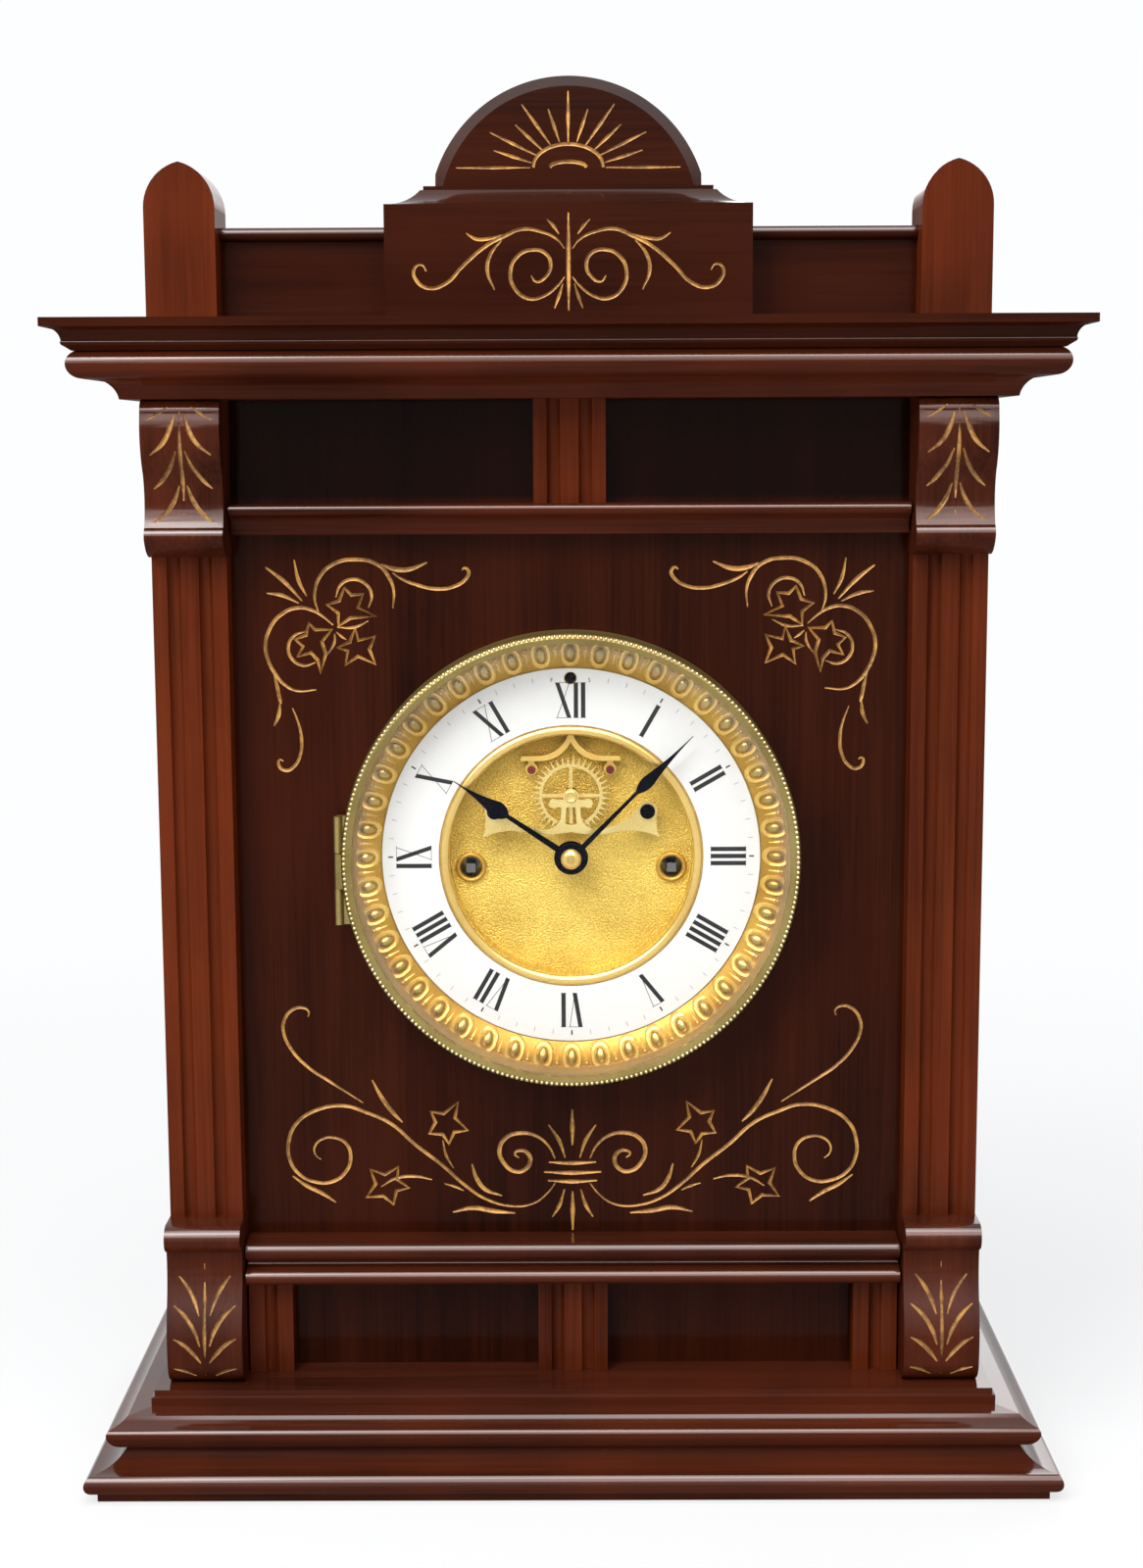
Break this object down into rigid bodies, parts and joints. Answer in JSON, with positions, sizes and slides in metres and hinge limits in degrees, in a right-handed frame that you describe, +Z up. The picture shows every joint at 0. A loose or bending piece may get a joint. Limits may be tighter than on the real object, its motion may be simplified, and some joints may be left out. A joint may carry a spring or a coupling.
{
  "type": "shelf clock",
  "caption": "Carved wooden shelf clock with fluted pilasters, cornice and crest, a hinged bezel over an enamel dial with visible escapement, and a striking pendulum movement.",
  "frame": {"origin": "middle of the clock's footprint, on the surface that it stands on", "axes": "+Z up, +Y from the dial to the back, +X to the right of someone facing the dial"},
  "size_m": [0.3408, 0.14, 0.4827],
  "materials": {
    "mahogany": "gloss",
    "red_mahogany": "gloss",
    "brass": "polished",
    "steel": "satin",
    "blued_steel": "polished",
    "enamel": "gloss",
    "clear_glass": "polished",
    "ruby": "polished"
  },
  "bodies": {
    "case": {"base_plinth": "mahogany", "base_moulding": "mahogany", "case_sides": "mahogany", "front_panel": "mahogany", "back_board": "mahogany", "pilasters": "red_mahogany", "lower_brackets": "red_mahogany", "upper_brackets": "red_mahogany", "reed_blocks": "mahogany", "lower_rail": "mahogany", "upper_rail": "mahogany", "cornice_bed": "mahogany", "cornice_cap": "mahogany", "finials": "red_mahogany", "gallery": "mahogany", "crest_block": "mahogany", "crest_cove": "mahogany", "crest_arch": "mahogany", "frame_hinge_leaves": "brass", "dial_sash": "brass", "egg_ring": "brass", "chapter_ring": "enamel", "inner_ring": "brass", "centre_plate": "brass", "escape_bridge": "brass", "bridge_screws": "steel", "front_plate": "brass", "back_plate": "brass", "plate_pillars": "steel", "mainsprings": "steel", "gong": "steel", "suspension_cock": "brass"},
    "bezel_frame": {"bezel": "brass", "bezel_glass": "clear_glass"},
    "door": {"back_door": "mahogany", "door_hinge_leaves": "brass"},
    "door_catch": {"door_button": "brass"},
    "minute_hand_set": {"minute_hand": "blued_steel", "hand_nut": "brass", "cannon_pinion": "steel"},
    "hour_hand_set": {"hour_hand": "blued_steel", "hour_wheel": "brass"},
    "minute_wheel_set": {"minute_wheel": "brass"},
    "escape_set": {"escape_wheel": "brass"},
    "third_set": {"third_wheel": "brass"},
    "centre_set": {"centre_wheel": "brass"},
    "second_set": {"second_wheel": "brass"},
    "time_great_set": {"time_great_wheel": "brass"},
    "time_winder": {"time_winding_arbor": "steel"},
    "fly_set": {"fly": "brass"},
    "warning_set": {"warning_wheel": "brass"},
    "pin_set": {"pin_wheel": "brass"},
    "strike_great_set": {"strike_great_wheel": "brass"},
    "strike_winder": {"strike_winding_arbor": "steel"},
    "hammer_set": {"hammer": "steel"},
    "pendulum": {"pendulum_rod": "steel", "pendulum_bob": "brass"},
    "anchor_set": {"anchor": "steel", "pallet_stones": "ruby"},
    "regulator": {"regulator_arbor": "steel"}
  },
  "joints": [
    {"name": "bezel_hinge", "type": "hinge", "parent": "case", "child": "bezel_frame", "pos_m": [-0.0806, -0.0309, 0.2146], "axis": [0, 0, -1], "range_deg": [0, 110]},
    {"name": "door_hinge", "type": "hinge", "parent": "case", "child": "door", "pos_m": [-0.08, 0.0665, 0.195], "axis": [0, 0, 1], "range_deg": [0, 110]},
    {"name": "door_catch_turn", "type": "hinge", "parent": "case", "child": "door_catch", "pos_m": [0.088, 0.0645, 0.195], "axis": [0, 1, 0], "range_deg": [0, 90]},
    {"name": "minute_hand_turn", "type": "hinge", "parent": "case", "child": "minute_hand_set", "pos_m": [0, -0.0235, 0.2185], "axis": [0, 1, 0], "continuous": true},
    {"name": "hour_hand_turn", "type": "hinge", "parent": "case", "child": "hour_hand_set", "pos_m": [0, -0.0235, 0.2185], "axis": [0, 1, 0], "continuous": true},
    {"name": "minute_wheel_turn", "type": "hinge", "parent": "case", "child": "minute_wheel_set", "pos_m": [0, -0.0235, 0.2017], "axis": [0, 1, 0], "continuous": true},
    {"name": "escape_wheel_turn", "type": "hinge", "parent": "case", "child": "escape_set", "pos_m": [0, -0.0235, 0.2395], "axis": [0, 1, 0], "continuous": true},
    {"name": "third_wheel_turn", "type": "hinge", "parent": "case", "child": "third_set", "pos_m": [0.01584, -0.0235, 0.23183], "axis": [0, 1, 0], "continuous": true},
    {"name": "centre_wheel_turn", "type": "hinge", "parent": "case", "child": "centre_set", "pos_m": [0, -0.0235, 0.2185], "axis": [0, 1, 0], "continuous": true},
    {"name": "second_wheel_turn", "type": "hinge", "parent": "case", "child": "second_set", "pos_m": [0.0123, -0.0235, 0.20111], "axis": [0, 1, 0], "continuous": true},
    {"name": "time_great_wheel_turn", "type": "hinge", "parent": "case", "child": "time_great_set", "pos_m": [0.0352, -0.0235, 0.2135], "axis": [0, 1, 0], "continuous": true},
    {"name": "time_winding", "type": "hinge", "parent": "time_great_set", "child": "time_winder", "pos_m": [0.0352, -0.0235, 0.2135], "axis": [0, 1, 0], "range_deg": [0, 2880]},
    {"name": "fly_turn", "type": "hinge", "parent": "case", "child": "fly_set", "pos_m": [-0.02782, -0.0235, 0.25875], "axis": [0, 1, 0], "continuous": true},
    {"name": "warning_wheel_turn", "type": "hinge", "parent": "case", "child": "warning_set", "pos_m": [-0.01817, -0.0235, 0.25065], "axis": [0, 1, 0], "continuous": true},
    {"name": "pin_wheel_turn", "type": "hinge", "parent": "case", "child": "pin_set", "pos_m": [-0.03089, -0.0235, 0.23792], "axis": [0, 1, 0], "continuous": true},
    {"name": "strike_great_wheel_turn", "type": "hinge", "parent": "case", "child": "strike_great_set", "pos_m": [-0.0352, -0.0235, 0.2135], "axis": [0, 1, 0], "continuous": true},
    {"name": "strike_winding", "type": "hinge", "parent": "strike_great_set", "child": "strike_winder", "pos_m": [-0.0352, -0.0235, 0.2135], "axis": [0, 1, 0], "range_deg": [0, 2880]},
    {"name": "hammer_lift", "type": "hinge", "parent": "case", "child": "hammer_set", "pos_m": [-0.022, -0.0235, 0.1855], "axis": [0, 1, 0], "range_deg": [0, 20]},
    {"name": "pendulum_swing", "type": "hinge", "parent": "case", "child": "pendulum", "pos_m": [0, -0.0235, 0.26434], "axis": [0, 1, 0], "range_deg": [-2.8, 2.8]},
    {"name": "anchor_rock", "type": "hinge", "parent": "case", "child": "anchor_set", "pos_m": [0, -0.0235, 0.26434], "axis": [0, 1, 0], "range_deg": [-2.8, 2.8]},
    {"name": "regulator_turn", "type": "hinge", "parent": "case", "child": "regulator", "pos_m": [0, -0.0235, 0.2809], "axis": [0, 1, 0], "range_deg": [-360, 360]}
  ],
  "couplings": [
    {"joint": "minute_wheel_turn", "follows": "minute_hand_turn", "ratio": -0.33333},
    {"joint": "hour_hand_turn", "follows": "minute_hand_turn", "ratio": 0.083333},
    {"joint": "third_wheel_turn", "follows": "escape_wheel_turn", "ratio": -0.1},
    {"joint": "centre_wheel_turn", "follows": "escape_wheel_turn", "ratio": 0.0095238},
    {"joint": "second_wheel_turn", "follows": "escape_wheel_turn", "ratio": -0.002381},
    {"joint": "time_great_wheel_turn", "follows": "escape_wheel_turn", "ratio": 0.00039683},
    {"joint": "warning_wheel_turn", "follows": "fly_turn", "ratio": -0.125},
    {"joint": "pin_wheel_turn", "follows": "fly_turn", "ratio": 0.015625},
    {"joint": "strike_great_wheel_turn", "follows": "fly_turn", "ratio": -0.0017361},
    {"joint": "anchor_rock", "follows": "pendulum_swing", "ratio": 1}
  ]
}
